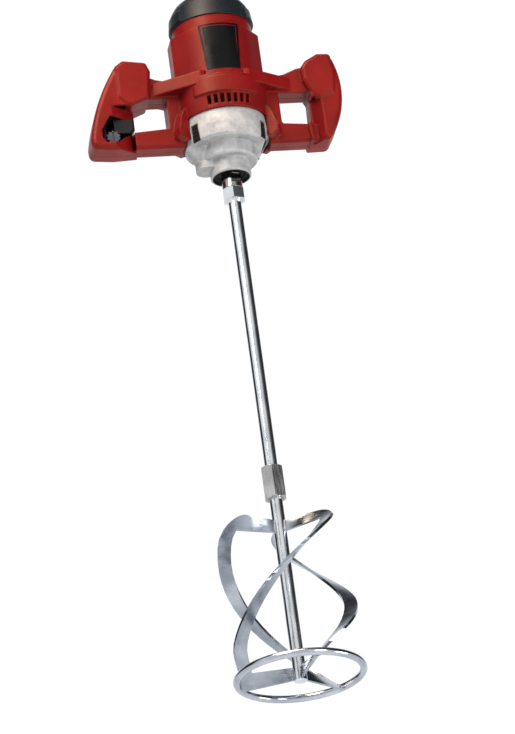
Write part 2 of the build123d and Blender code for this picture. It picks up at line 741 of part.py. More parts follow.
with BuildPart() as coupling_sleeve:
    with BuildSketch(Plane.XY.offset(coupling_low_z).rotated((0, 0, hex_turn))):
        RegularPolygon(hex_r, 6)
    extrude(amount=coupling_length)
    with BuildSketch(Plane.XZ):
        for end_z, inward in ((coupling_top_z, -1), (coupling_low_z, 1)):
            with BuildLine():
                Polyline(
                    (stirrer_hex / 2 - 0.5, end_z),
                    (hex_r + 1, end_z + inward * (hex_r + 1.5 - stirrer_hex / 2) * tan(radians(30))),
                    (hex_r + 1, end_z - inward),
                    (stirrer_hex / 2 - 0.5, end_z - inward),
                    close=True,
                )
            make_face()
    revolve(axis=Axis.Z, mode=Mode.SUBTRACT)
    with BuildSketch(Plane.XY.offset(coupling_low_z)):
        Circle(rod_r + running_gap)
    extrude(amount=coupling_length, mode=Mode.SUBTRACT)
    chamfer(coupling_sleeve.edges().filter_by(GeomType.CIRCLE).filter_by(lambda e: e.radius < rod_r + 1), 0.8)
finish(coupling_sleeve.part, "coupling_sleeve")

rod_tip_z = ring_z - rod_tip_below_ring
with BuildPart() as lower_rod:
    with BuildSketch(Plane.XY.offset(rod_tip_z)):
        Circle(rod_r)
    extrude(amount=rods_meet_z - 0.5 - rod_tip_z)
    chamfer(lower_rod.edges().group_by(Axis.Z)[0], 1.2)
finish(lower_rod.part, "lower_rod")

with BuildPart() as mixing_ring:
    with BuildSketch(Plane.XZ):
        with Locations((ring_r, ring_z)):
            Circle(ring_bar_r)
    revolve(axis=Axis.Z)
finish(mixing_ring.part, "mixing_ring")

twist = 2 * pi / blade_pitch
arm_low_z = blade_height - blade_width + 1
foot_top_z = 9.0
root_r = rod_r - 0.8
weld_r = ring_r - ring_bar_r + 1.0


def blade_edge(height):
    """Outer radius of a blade at a height above the ring: a rounded top corner and a drawn-in foot."""
    if height > blade_height - blade_corner_r:
        drop = height - (blade_height - blade_corner_r)
        return blade_outer_r - blade_corner_r + sqrt(max(blade_corner_r**2 - drop**2, 0))
    if height < 34:
        ease = max(height - foot_top_z, 0) / (34 - foot_top_z)
        return weld_r + (blade_outer_r - weld_r) * ease * ease * (3 - 2 * ease)
    return blade_outer_r


def blade_section(height, inner, outer, start_angle):
    """Level slice of a twisted flat strip: its thickness across the slice grows with the slope."""
    angle = degrees(twist * (height - blade_height)) + start_angle
    half_in = blade_thickness / 2 * sqrt(1 + (twist * inner) ** 2)
    half_out = blade_thickness / 2 * sqrt(1 + (twist * outer) ** 2)
    with BuildSketch(Plane((0, 0, ring_z + height)).rotated((0, 0, angle))) as slice_sketch:
        with BuildLine():
            Polyline((inner, -half_in), (outer, -half_out), (outer, half_out), (inner, half_in), close=True)
        make_face()
    return slice_sketch.sketch


for number in range(1, blade_count + 1):
    start = blade_first_angle + 360 / blade_count * (number - 1)
    strip_in = blade_outer_r - blade_width
    with BuildPart() as blade:
        # top arm, from the rod to the rounded outer corner
        for height in [blade_height - (blade_height - arm_low_z) * (1 - i / 7) ** 2 for i in range(8)]:
            add(blade_section(height, root_r, blade_edge(height), start))
        loft(ruled=True)
        # outer strip
        strip_heights = [foot_top_z, 13, 18, 23, 28, 34] + [34 + (arm_low_z - 34) * i / 18 for i in range(1, 19)]
        for height in strip_heights:
            add(blade_section(height, blade_edge(height) - blade_width, blade_edge(height), start))
        loft(ruled=True)
        # foot, from the rod to the ring
        for height in (-blade_foot, 0, foot_top_z / 2, foot_top_z):
            add(blade_section(height, root_r, weld_r, start))
        loft(ruled=True)
    finish(blade.part, f"blade_{number}")

# ---------------------------------------------------------------- handles
# One closed frame carries both grips: a hub round the motor and the gear housing, an upper bar and
# a lower rail each side, the grips and a raised block at the head of each grip. It is modelled
# whole, then cut along the plane y = 0 into a front and a rear shell.
hub_low_r = gear_body_r + 1.2
hub_bore_r = housing_r + seat_gap
chamber_r = max(housing_bore_r, gear_screw_r + gear_screw_head_r + seat_gap)
gear_clear_r = gear_body_r + 1.2
brow_r = hub_r + 2.2
brow_half_angle = 43.0
brow_top_z = 19.0
vent_low_z = -12.6
vent_height = 10.4
vent_width = 4.0
vent_pitch = 8.6
vents_per_side = 7
wedge_low_z = -60.0
wedge_top_z = 4.0
left_wedge = ((-123.0, -19.2), (-97.0, 1.0))
right_wedge = ((106.5, -19.2), (96.5, -5.0))
grip_round = 5.5
boss_outer_r = 4.4
screw_hole_r = 1.6
trigger_y = 9.0
trigger_slot_low_z = -25.5
trigger_slot_high_z = -8.0
grip_screw_spots = ((-96, 41), (-139, -37), (117, -22), (108, 38))
rail_screw_spots = ((-68, -36), (68, -36))
shell_screw_spots = grip_screw_spots + rail_screw_spots
inlet_x = -90.0
inlet_z = 30.0
inlet_r = 4.2
gland_r = 7.0


def left_grip_outline():
    """Left grip seen from the front: a long bowed back and a straight inner side."""
    with BuildLine() as line:
        back = ThreePointArc((-112, 54), (-135.5, 11), (-148.6, -34))
        Polyline(back @ 1, (-147.8, -45.5), (-122, -47.5), (-opening_outer_x, rail_low_z),
                 (-opening_outer_x, 50), back @ 0)
    return line.line


def right_grip_outline():
    """Right grip seen from the front: narrower than the left, and drawn in at the foot."""
    with BuildLine() as line:
        back = ThreePointArc((123, 53.5), (130.7, 14), (119.5, -33))
        Polyline(back @ 1, (111.5, -47), (90, rail_low_z - 1.5), (88, rail_top_z - 3),
                 (opening_outer_x - 2, rail_top_z + 5), (opening_outer_x, 50), back @ 0)
    return line.line


def wedge_prism(corner, inward):
    """Prism that slopes the inner front corner of a grip; inward moves it into the grip."""
    (front_x, front_y), (back_x, back_y) = corner
    outward = -1 if front_x < 0 else 1
    with BuildPart() as prism:
        with BuildSketch(Plane.XY.offset(wedge_low_z)):
            with BuildLine():
                Polyline(
                    (front_x + outward * inward, front_y - 6),
                    (front_x + outward * inward, front_y),
                    (back_x + outward * inward, back_y),
                    (back_x - outward * 4, back_y),
                    (back_x - outward * 4, front_y - 6),
                    close=True,
                )
            make_face()
        extrude(amount=wedge_top_z - wedge_low_z)
    return prism.part


def grip_solid(outline, corner, inset):
    """One grip, or the space inside it when inset is the wall."""
    with BuildPart() as grip:
        with BuildSketch(Plane.XZ):
            with BuildLine():
                add(outline)
            make_face()
            if inset:
                offset(amount=-inset)
            else:
                fillet(vertices().filter_by(lambda v: abs(v.X) > 105), 7)
        extrude(amount=grip_y - inset, both=True)
        if not inset:
            faces = grip.faces().filter_by(Axis.Y)
            outer = faces.edges().filter_by(lambda e: abs(e.center().X) > opening_outer_x + 8)
            fillet(outer, grip_round)
        add(wedge_prism(corner, inset * 1.4), mode=Mode.SUBTRACT)
    return grip.part


def head_block(corners):
    """Raised block at the head of a grip, proud of it in front and behind, with bevelled rims."""
    with BuildPart() as block:
        with BuildSketch(Plane.XZ):
            with BuildLine():
                Polyline(*corners, close=True)
            make_face()
            fillet(vertices(), 4)
        extrude(amount=hump_y, both=True)
        chamfer(block.faces().filter_by(Axis.Y).edges(), 3)
    return block.part


left_head = ((-114.5, 50), (-105, 57), (-80, 53.5), (-76, 43), (-80, 11.5), (-100, 3), (-107, 3.5), (-115.5, 13))
right_head = ((88, 39), (94, 47), (108, 55), (122, 54.5), (126, 30), (123, 6), (105, 0), (97, 6), (89, 24))

with BuildPart() as brow:
    with BuildSketch(Plane.XZ):
        with BuildLine():
            half = brow_r * sin(radians(brow_half_angle))
            Polyline((-half, 0), (half, 0), (half, brow_top_z - 7), (half - 8, brow_top_z), (8 - half, brow_top_z),
                     (-half, brow_top_z - 7), close=True)
        make_face()
    extrude(amount=brow_r + 2)
    with BuildSketch(Plane.XY.offset(-1)):
        Circle(brow_r)
        Circle(hub_r - 3, mode=Mode.SUBTRACT)
    extrude(amount=brow_top_z + 2, mode=Mode.INTERSECT)

left_grip = grip_solid(left_grip_outline(), left_wedge, 0)
right_grip = grip_solid(right_grip_outline(), right_wedge, 0)
left_space = grip_solid(left_grip_outline(), left_wedge, shell_wall)
right_space = grip_solid(right_grip_outline(), right_wedge, shell_wall)

with BuildPart() as handle:
    # hub round the fan chamber, flared inwards at the vents
    with BuildSketch(Plane.XZ):
        with BuildLine():
            Polyline((0, seat_z), (hub_low_r, seat_z), (hub_r, vent_low_z + vent_height + 1), (hub_r, hub_top_z - 1.5),
                     (hub_r - 1.5, hub_top_z), (0, hub_top_z), close=True)
        make_face()
    revolve(axis=Axis.Z)
    # gussets that run from the upper bars to the hub
    for side in (1, -1):
        with BuildSketch(Plane.XY.offset(bar_low_z + 3)):
            with BuildLine():
                Polyline((side * 76, -bar_y), (side * 27, -40.9), (0, -38), (0, 38), (side * 27, 40.9),
                         (side * 76, bar_y), close=True)
            make_face()
        extrude(amount=bar_top_z - bar_low_z - 5)
    # upper bars, rising to the grips
    for side in (1, -1):
        with BuildSketch(Plane.XZ):
            with BuildLine():
                Polyline((side * 40, bar_low_z), (side * 100, bar_low_z), (side * 100, 44), (side * 84, 41),
                         (side * 70, bar_top_z + 3), (side * 56, bar_top_z), (side * 40, bar_top_z), close=True)
            make_face()
        extrude(amount=bar_y, both=True)
    # lower rails and the cheeks beside the gear housing
    for side in (1, -1):
        with BuildSketch(Plane.XZ):
            with BuildLine():
                Polyline((side * 40, rail_low_z), (side * 100, rail_low_z), (side * 100, rail_top_z - 1.5),
                         (side * (hub_side_x + 1.5), rail_top_z + 1.5), (side * hub_side_x, rail_top_z + 4),
                         (side * hub_side_x, bar_low_z + 2), (side * 40, bar_low_z + 2), close=True)
            make_face()
        extrude(amount=bar_y, both=True)
    long_edges = handle.edges().filter_by(lambda e: abs(abs(e.center().Y) - bar_y) < 0.01)
    low_edges = long_edges.filter_by(lambda e: abs(e.center().Z - rail_low_z) < 0.5)
    chamfer(low_edges, 3)
    # flared collar between the cheeks and the gear housing
    for side in (0, 180):
        with BuildSketch(Plane.XZ.rotated((0, 0, side - 27))):
            with BuildLine():
                Polyline((gear_body_r - 2, -3), (hub_r + 2, -6), (hub_r + 6, -13), (hub_side_x - 1, -30),
                         (hub_side_x - 1.5, -37), (hub_r + 4, -42), (gear_body_r - 2, -42), close=True)
            make_face()
        revolve(axis=Axis.Z, revolution_arc=54)
    add(brow.part)
    add(brow.part.mirror(Plane.XZ))
    add(left_grip)
    add(right_grip)
    add(head_block(left_head))
    add(head_block(right_head))
    # insides
    add(left_space, mode=Mode.SUBTRACT)
    add(right_space, mode=Mode.SUBTRACT)
    with BuildSketch(Plane.XZ):
        for side in (1, -1):
            with BuildLine():
                Polyline((side * 44, bar_low_z + 3), (side * 102, bar_low_z + 3), (side * 102, 38), (side * 84, 37),
                         (side * 68, bar_top_z - 1), (side * 44, bar_top_z - 4), close=True)
            make_face()
            with BuildLine():
                Polyline((side * 64, rail_low_z + 3), (side * 102, rail_low_z + 3), (side * 102, rail_top_z - 4.5),
                         (side * 64, rail_top_z - 2.5), close=True)
            make_face()
    extrude(amount=bar_y - shell_wall, both=True, mode=Mode.SUBTRACT)
    with BuildSketch(Plane.XY.offset(housing_bottom_z)):
        Circle(hub_bore_r)
    extrude(amount=hub_top_z + 20, mode=Mode.SUBTRACT)
    with BuildSketch(Plane.XY.offset(seat_z)):
        Circle(chamber_r)
    extrude(amount=housing_bottom_z - seat_z, mode=Mode.SUBTRACT)
    with BuildSketch(Plane.XY.offset(seat_z)):
        Circle(gear_clear_r)
    extrude(amount=-60, mode=Mode.SUBTRACT)
    # vents in front and behind
    with BuildSketch(Plane.XY.offset(vent_low_z)):
        for middle in (270, 90):
            first = middle - vent_pitch * (vents_per_side - 1) / 2
            with PolarLocations(hub_r, vents_per_side, start_angle=first, angular_range=vent_pitch * vents_per_side,
                                endpoint=False):
                Rectangle(20, vent_width)
    extrude(amount=vent_height, mode=Mode.SUBTRACT)
    # opening round the trigger and the speed dial, in the front shell only
    with BuildSketch(Plane.XZ.offset(-4)):
        with BuildLine():
            Polyline((-126, -8), (-136, -24), (-136, -34), (-131.5, -40), (-120.5, -40), (-111, -31), (-104, -25.5),
                     (-90, -25.5), (-90, -8), close=True)
        make_face()
        fillet(vertices().filter_by(lambda v: v.X < -115), 1.5)
    extrude(amount=30, mode=Mode.SUBTRACT)
    with BuildSketch(Plane.XZ.offset(-(trigger_y + moving_gap))):
        with Locations((-107, (trigger_slot_low_z + trigger_slot_high_z) / 2)):
            Rectangle(34, trigger_slot_high_z - trigger_slot_low_z)
    extrude(amount=20, mode=Mode.SUBTRACT)
    # screw columns
    with BuildSketch(Plane.XZ):
        with Locations(*rail_screw_spots):
            Circle(boss_outer_r)
    extrude(amount=bar_y - 1, both=True)
    with BuildSketch(Plane.XZ):
        with Locations(*grip_screw_spots):
            Circle(boss_outer_r)
    extrude(amount=grip_y - 1, both=True)
    with BuildSketch(Plane.XZ.offset(bar_y - 4)):
        with Locations(*shell_screw_spots):
            Circle(screw_hole_r)
    extrude(amount=-(hump_depth + 10), mode=Mode.SUBTRACT)
    with BuildSketch(Plane.XZ.offset(-(bar_y - 2.5))):
        with Locations(*shell_screw_spots):
            Circle(3.6)
    extrude(amount=-20, mode=Mode.SUBTRACT)
    # lock button and cable inlet holes in the rear
    with BuildSketch(Plane.XZ.offset(-(grip_y - shell_wall - 1))):
        with Locations((-121, -6)):
            Circle(5.5)
        with Locations((inlet_x, inlet_z)):
            Circle(gland_r)
    extrude(amount=-20, mode=Mode.SUBTRACT)

with BuildPart() as front_shell:
    add(handle.part)
    split(bisect_by=Plane.XZ, keep=Keep.TOP)
finish(front_shell.part, "handle_front_shell")

with BuildPart() as rear_shell:
    add(handle.part)
    split(bisect_by=Plane.XZ, keep=Keep.BOTTOM)
finish(rear_shell.part, "handle_rear_shell")

# ---------------------------------------------------------------- handle fittings
screw_head_y = bar_y - 2.5
for number, (x, z) in enumerate(shell_screw_spots, start=1):
    with BuildPart() as shell_screw:
        with BuildSketch(Plane((x, screw_head_y, z), x_dir=(1, 0, 0), z_dir=(0, 1, 0))):
            Circle(3.3)
        extrude(amount=2.2)
        with BuildSketch(Plane((x, screw_head_y, z), x_dir=(1, 0, 0), z_dir=(0, 1, 0))):
            Circle(screw_hole_r - seat_gap)
        extrude(amount=-(screw_head_y + bar_y - 5))
        with BuildSketch(Plane((x, screw_head_y + 2.2, z), x_dir=(1, 0, 0), z_dir=(0, 1, 0))):
            RegularPolygon(1.6, 6)
        extrude(amount=-1.4, mode=Mode.SUBTRACT)
    finish(shell_screw.part, f"shell_screw_{number}")

trigger_right_x = -98.5
trigger_left_x = -121.0
trigger_low_z = trigger_slot_low_z + moving_gap
trigger_high_z = trigger_slot_high_z - moving_gap - 0.5
with BuildPart() as trigger:
    with BuildSketch(Plane.XZ):
        with BuildLine():
            Polyline((trigger_left_x, trigger_low_z), (trigger_right_x - 3, trigger_low_z),
                     (trigger_right_x, trigger_low_z + 4), (trigger_right_x, trigger_high_z),
                     (trigger_left_x, trigger_high_z), close=True)
        make_face()
    extrude(amount=trigger_y, both=True)
    chamfer(trigger.edges().filter_by(lambda e: e.center().X > trigger_right_x - 2 and abs(e.center().Y) > 8), 2.5)
finish(trigger.part, "trigger")

dial_x = -124.0
dial_z = -32.0
dial_r = 7.6
dial_front_y = -15.0
dial_back_y = -9.5 - moving_gap
dial_ribs = 10
with BuildPart() as speed_dial:
    with BuildSketch(Plane((dial_x, dial_back_y, dial_z), x_dir=(1, 0, 0), z_dir=(0, -1, 0))):
        Circle(dial_r)
        with PolarLocations(dial_r, dial_ribs):
            Circle(1.3, mode=Mode.SUBTRACT)
    extrude(amount=dial_back_y - dial_front_y)
    chamfer(speed_dial.faces().sort_by(Axis.Y)[0].edges(), 0.6)
    with BuildSketch(Plane((dial_x, dial_front_y, dial_z), x_dir=(1, 0, 0), z_dir=(0, -1, 0))):
        Rectangle(2.2, 11)
    extrude(amount=-1.2, mode=Mode.SUBTRACT)
    with BuildSketch(Plane((dial_x, dial_back_y, dial_z), x_dir=(1, 0, 0), z_dir=(0, -1, 0))):
        Circle(2)
    extrude(amount=-5)
finish(speed_dial.part, "speed_dial")

switch_low_z = trigger_high_z + moving_gap + 0.5
strut_width = 3.0
strut_x = trigger_left_x - trigger_travel - 2 * moving_gap - strut_width / 2
with BuildPart() as switch_body:
    with BuildSketch(Plane.XY.offset(switch_low_z)):
        with Locations((-122.5, 2)):
            RectangleRounded(15, 19, 1.5)
    extrude(amount=18)
    with BuildSketch(Plane((dial_x, dial_back_y + 5 + seat_gap, dial_z), x_dir=(1, 0, 0), z_dir=(0, 1, 0))):
        Rectangle(11, 11)
    extrude(amount=8)
    with BuildSketch(Plane.XY.offset(dial_z)):
        with Locations((strut_x, 5)):
            Rectangle(strut_width, 8)
    extrude(amount=switch_low_z - dial_z)
finish(switch_body.part, "switch_body")

lock_out_y = grip_y + lock_travel + 1.0
with BuildPart() as lock_button:
    with BuildSketch(Plane((-121, lock_out_y, -6), x_dir=(1, 0, 0), z_dir=(0, 1, 0))):
        Circle(5.5 - moving_gap)
    extrude(amount=-(lock_out_y - grip_y + shell_wall - 0.4))
    fillet(lock_button.edges().sort_by(Axis.Y)[-1], 1.2)
finish(lock_button.part, "lock_button")

gland_length = 15.0
with BuildPart() as cable_gland:
    gland_plane = Plane((inlet_x, hump_y - 5, inlet_z), x_dir=(1, 0, 0), z_dir=(0, 1, 0))
    with BuildSketch(gland_plane):
        Circle(gland_r - seat_gap)
    extrude(amount=gland_length)
    with BuildSketch(gland_plane.offset(5.2)):
        Circle(gland_r + 2)
    extrude(amount=2.5)
    with BuildSketch(gland_plane):
        Circle(inlet_r)
    extrude(amount=gland_length, mode=Mode.SUBTRACT)
    chamfer(cable_gland.edges().group_by(Axis.Y)[-1], 0.8)
finish(cable_gland.part, "cable_gland")

label_low_z = 30.0
label_high_z = 86.0 - 1.5
label_top_width = 44.0
label_low_width = 36.5
label_thick = 0.5
for side, name in ((-1, "nameplate"), (1, "rating_plate")):
    with BuildPart() as plate:
        with BuildSketch(Plane.XZ):
            with BuildLine():
                Polyline((-label_low_width / 2, label_low_z), (label_low_width / 2, label_low_z),
                         (label_top_width / 2, label_high_z), (-label_top_width / 2, label_high_z), close=True)
            make_face()
            fillet(vertices(), 1)
        extrude(amount=-side * (housing_r + 3))
        with BuildSketch(Plane.XY.offset(label_low_z - 1)):
            Circle(housing_r + label_thick)
            Circle(housing_r, mode=Mode.SUBTRACT)
        extrude(amount=label_high_z - label_low_z + 2, mode=Mode.INTERSECT)
    finish(plate.part, name)
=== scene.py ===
# %% [markdown]
# # A hand-held paint mixer
# The object is an electric mixer for paint and plaster: a motor between two closed hand grips, a
# gear head under it, and a screwed stirrer rod with helical blades on a ring. Its mechanical parts
# arrive as a fixed frame, each riding on its own moving body, so this lesson is about finishes,
# about small pieces such as weld beads and a printed border, and about light that suits bare metal.

# %% Load the mechanical frame
import json
from math import cos, pi, radians, sin

import bmesh
import bpy
from mathutils import Matrix, Vector


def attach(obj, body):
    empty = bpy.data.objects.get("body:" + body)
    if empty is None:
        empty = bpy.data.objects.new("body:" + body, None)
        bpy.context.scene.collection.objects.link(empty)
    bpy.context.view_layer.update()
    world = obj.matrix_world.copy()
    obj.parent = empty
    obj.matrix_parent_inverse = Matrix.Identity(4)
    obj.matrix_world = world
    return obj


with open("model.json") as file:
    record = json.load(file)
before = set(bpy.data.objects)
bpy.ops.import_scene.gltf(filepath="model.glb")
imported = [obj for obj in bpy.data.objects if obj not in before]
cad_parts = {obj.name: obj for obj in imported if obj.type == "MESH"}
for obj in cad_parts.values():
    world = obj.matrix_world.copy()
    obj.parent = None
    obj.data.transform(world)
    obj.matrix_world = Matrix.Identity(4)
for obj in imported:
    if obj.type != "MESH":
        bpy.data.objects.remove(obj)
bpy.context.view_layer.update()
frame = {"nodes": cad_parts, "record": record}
nodes = frame["nodes"]

# %% [markdown]
# ## Helpers for finishes
# Every finish here is built from shader nodes, so it has no picture files. A material starts as a
# Principled surface. `noise` adds a procedural pattern in object space, `ramp` turns a pattern into
# a range of values, and `bump` turns one into relief. Writing them once keeps each recipe short.

# %% Shader helpers
def new_finish(name, colour, metallic, roughness):
    """A Principled material and its node tree."""
    material = bpy.data.materials.new(name)
    material.use_nodes = True
    tree = material.node_tree
    surface = tree.nodes["Principled BSDF"]
    surface.inputs["Base Color"].default_value = (*colour, 1)
    surface.inputs["Metallic"].default_value = metallic
    surface.inputs["Roughness"].default_value = roughness
    return material, tree, surface


def coordinates(tree, stretch=(1, 1, 1)):
    """Object-space coordinates in metres, stretched per axis."""
    source = tree.nodes.new("ShaderNodeTexCoord")
    mapping = tree.nodes.new("ShaderNodeMapping")
    mapping.inputs["Scale"].default_value = stretch
    tree.links.new(source.outputs["Object"], mapping.inputs["Vector"])
    return mapping.outputs["Vector"]


def noise(tree, scale, detail=2.0, stretch=(1, 1, 1), roughness=0.5):
    """Noise whose features are about 1 / scale metres wide."""
    node = tree.nodes.new("ShaderNodeTexNoise")
    node.inputs["Scale"].default_value = scale
    node.inputs["Detail"].default_value = detail
    node.inputs["Roughness"].default_value = roughness
    tree.links.new(coordinates(tree, stretch), node.inputs["Vector"])
    return node.outputs["Fac"]


def ramp(tree, value, low, high, from_low=0.35, from_high=0.65):
    """Map a pattern's middle range to low..high."""
    node = tree.nodes.new("ShaderNodeMapRange")
    node.inputs["From Min"].default_value = from_low
    node.inputs["From Max"].default_value = from_high
    node.inputs["To Min"].default_value = low
    node.inputs["To Max"].default_value = high
    tree.links.new(value, node.inputs["Value"])
    return node.outputs["Result"]


def blend_colours(tree, value, first, second):
    """A colour that runs from first to second as value goes from 0 to 1."""
    node = tree.nodes.new("ShaderNodeMix")
    node.data_type = "RGBA"
    node.inputs["A"].default_value = (*first, 1)
    node.inputs["B"].default_value = (*second, 1)
    tree.links.new(value, node.inputs["Factor"])
    return node.outputs["Result"]


def bump(tree, surface, height, strength, distance, soft_edge=0.0):
    """Relief on the surface from a pattern, distance metres high; soft_edge rounds the edges' shading."""
    node = tree.nodes.new("ShaderNodeBump")
    if soft_edge:
        rounded = tree.nodes.new("ShaderNodeBevel")
        rounded.samples = 6
        rounded.inputs["Radius"].default_value = soft_edge
        tree.links.new(rounded.outputs["Normal"], node.inputs["Normal"])
    node.inputs["Strength"].default_value = strength
    node.inputs["Distance"].default_value = distance
    tree.links.new(height, node.inputs["Height"])
    tree.links.new(node.outputs["Normal"], surface.inputs["Normal"])


# %% [markdown]
# ## Moulded red plastic
# The housing and the grips are glass-filled nylon, spark-eroded to a fine grain. Up close the grain
# scatters the highlight, and from further away the red only varies slightly from place to place.
# A fine noise gives the grain as relief, and two broader ones shift the colour and the roughness.

# %% Plastics
def moulded_plastic(name, dark, light, roughness, sheen=0.3, tint=(1, 1, 1), grain=0.00006,
                    soft_edge=0.0):
    """Grained plastic: slight colour drift, uneven sheen and a fine eroded texture."""
    drift_scale, sheen_scale, grain_scale = 22, 60, 1700
    material, tree, surface = new_finish(name, light, 0, roughness)
    surface.inputs["Specular IOR Level"].default_value = sheen
    surface.inputs["Specular Tint"].default_value = (*tint, 1)
    drift = ramp(tree, noise(tree, drift_scale, 4), 0, 1)
    tree.links.new(blend_colours(tree, drift, dark, light), surface.inputs["Base Color"])
    uneven = ramp(tree, noise(tree, sheen_scale, 5), roughness - 0.05, roughness + 0.07)
    tree.links.new(uneven, surface.inputs["Roughness"])
    bump(tree, surface, noise(tree, grain_scale, 2), 0.5, grain, soft_edge)
    return material


red_plastic = moulded_plastic("red_plastic", (0.124, 0.0024, 0.0042), (0.170, 0.0040, 0.0058),
                              0.40, 0.34, (1, 0.5, 0.3), soft_edge=0.0026)
black_plastic = moulded_plastic("black_plastic", (0.004, 0.0066, 0.0095), (0.008, 0.0115, 0.0160),
                                0.4, 0.26, soft_edge=0.0012)
trim_plastic = moulded_plastic("trim_plastic", (0.004, 0.004, 0.005), (0.008, 0.008, 0.009), 0.34)
dial_plastic = moulded_plastic("dial_plastic", (0.028, 0.031, 0.040), (0.07, 0.075, 0.095), 0.3)
label_film = moulded_plastic("label_film", (0.0025, 0.0025, 0.003), (0.0045, 0.0045, 0.005), 0.3, 0.1,
                             grain=0.00002)
fan_plastic = moulded_plastic("fan_plastic", (0.01, 0.01, 0.011), (0.016, 0.016, 0.018), 0.45)
seal_rubber = moulded_plastic("seal_rubber", (0.006, 0.006, 0.006), (0.011, 0.011, 0.011), 0.7)
plastics = [red_plastic, black_plastic, trim_plastic, dial_plastic, label_film, fan_plastic, seal_rubber]
print("plastic finishes:", len(plastics))

# %% [markdown]
# ## Cast aluminium
# The gear head is die cast and then shot blasted. The blasting leaves a pale grey, slightly grainy
# skin that scatters light almost like paint, with darker cloudy patches where the metal flowed.
# An only slightly metallic surface with cloudy colour and one fine relief looks like that.

# %% Cast aluminium and bare steels
def mouth_mask(tree, mouth_r=0.0201, mouth_top=-0.0630):
    """1 inside the open end of the nose, 0 elsewhere: where painted shade makes the hollow near black."""
    split = tree.nodes.new("ShaderNodeSeparateXYZ")
    tree.links.new(coordinates(tree), split.inputs["Vector"])
    flat = tree.nodes.new("ShaderNodeCombineXYZ")
    tree.links.new(split.outputs["X"], flat.inputs["X"])
    tree.links.new(split.outputs["Y"], flat.inputs["Y"])
    reach = tree.nodes.new("ShaderNodeVectorMath")
    reach.operation = "LENGTH"
    tree.links.new(flat.outputs["Vector"], reach.inputs[0])
    near = tree.nodes.new("ShaderNodeMath")
    near.operation = "LESS_THAN"
    near.inputs[1].default_value = mouth_r
    tree.links.new(reach.outputs["Value"], near.inputs[0])
    low = tree.nodes.new("ShaderNodeMath")
    low.operation = "LESS_THAN"
    low.inputs[1].default_value = mouth_top
    tree.links.new(split.outputs["Z"], low.inputs[0])
    both = tree.nodes.new("ShaderNodeMath")
    both.operation = "MULTIPLY"
    tree.links.new(near.outputs["Value"], both.inputs[0])
    tree.links.new(low.outputs["Value"], both.inputs[1])
    return both.outputs["Value"]


def cast_metal(name, dark, light, roughness):
    """Blasted casting: cloudy grey with a fine pitted skin, and painted shade in the nose's open end."""
    metallic, cloud_scale, uneven_scale, pit_scale = 0.18, 70, 240, 900
    material, tree, surface = new_finish(name, light, metallic, roughness)
    clouds = ramp(tree, noise(tree, cloud_scale, 8, roughness=0.68), 0, 1, 0.33, 0.67)
    skin = blend_colours(tree, clouds, dark, light)
    inside = mouth_mask(tree)
    # painted shade: the hollow inside the nose is coloured near black, not cast grey
    painted_mouth_shade = tree.nodes.new("ShaderNodeMix")
    painted_mouth_shade.data_type = "RGBA"
    painted_mouth_shade.inputs["B"].default_value = (0.006, 0.006, 0.007, 1)
    tree.links.new(inside, painted_mouth_shade.inputs["Factor"])
    tree.links.new(skin, painted_mouth_shade.inputs["A"])
    tree.links.new(painted_mouth_shade.outputs["Result"], surface.inputs["Base Color"])
    uneven = ramp(tree, noise(tree, uneven_scale, 3), roughness - 0.06, roughness + 0.08)
    tree.links.new(uneven, surface.inputs["Roughness"])
    bump(tree, surface, noise(tree, pit_scale, 4, roughness=0.65), 0.6, 0.0002, 0.0014)
    return material


def drawn_steel(name, dark, light, roughness, stretch=(1, 1, 0.06), streaks=900.0, relief=0.00002):
    """Bright bar: fine streaks along the drawing direction, and a faint bluish cloud."""
    cloud_scale = 35
    material, tree, surface = new_finish(name, light, 1, roughness)
    clouds = ramp(tree, noise(tree, cloud_scale, 3), 0, 1)
    tree.links.new(blend_colours(tree, clouds, dark, light), surface.inputs["Base Color"])
    lines = noise(tree, streaks, 3, stretch)
    tree.links.new(ramp(tree, lines, roughness * 0.75, roughness * 1.35), surface.inputs["Roughness"])
    bump(tree, surface, lines, 0.15, relief)
    return material


cast_aluminium = cast_metal("cast_aluminium", (0.24, 0.242, 0.248), (0.44, 0.442, 0.445), 0.5)
bright_steel = drawn_steel("bright_steel", (0.55, 0.58, 0.63), (0.76, 0.78, 0.80), 0.13)
spindle_steel = drawn_steel("spindle_steel", (0.26, 0.25, 0.24), (0.42, 0.40, 0.385), 0.14)
hexagon_steel = drawn_steel("hexagon_steel", (0.30, 0.30, 0.30), (0.46, 0.46, 0.455), 0.26,
                            (1, 1, 0.05), 1100, 0.00005)
zinc_steel = drawn_steel("zinc_steel", (0.50, 0.51, 0.53), (0.64, 0.64, 0.65), 0.3, (1, 1, 1), 500)
ring_steel = drawn_steel("ring_steel", (0.36, 0.385, 0.44), (0.50, 0.525, 0.59), 0.12,
                         (1, 1, 1), 300, 0.00001)
blade_steel = drawn_steel("blade_steel", (0.22, 0.25, 0.29), (0.40, 0.44, 0.50), 0.19,
                          (1, 1, 1), 60, 0.00001)
weld_steel = drawn_steel("weld_steel", (0.20, 0.21, 0.23), (0.36, 0.38, 0.41), 0.38,
                         (1, 1, 1), 700, 0.00006)
gear_steel = drawn_steel("gear_steel", (0.26, 0.26, 0.27), (0.38, 0.38, 0.39), 0.28, (1, 1, 1), 700)
metals = [cast_aluminium, bright_steel, spindle_steel, hexagon_steel, zinc_steel, ring_steel, blade_steel,
          weld_steel, gear_steel]
print("metal finishes:", len(metals))

# %% [markdown]
# ## Inner materials
# Copper, brass, laminated iron and carbon are mostly hidden, and show only through the vents and
# slots, so their recipes are simple variations on the two families above.

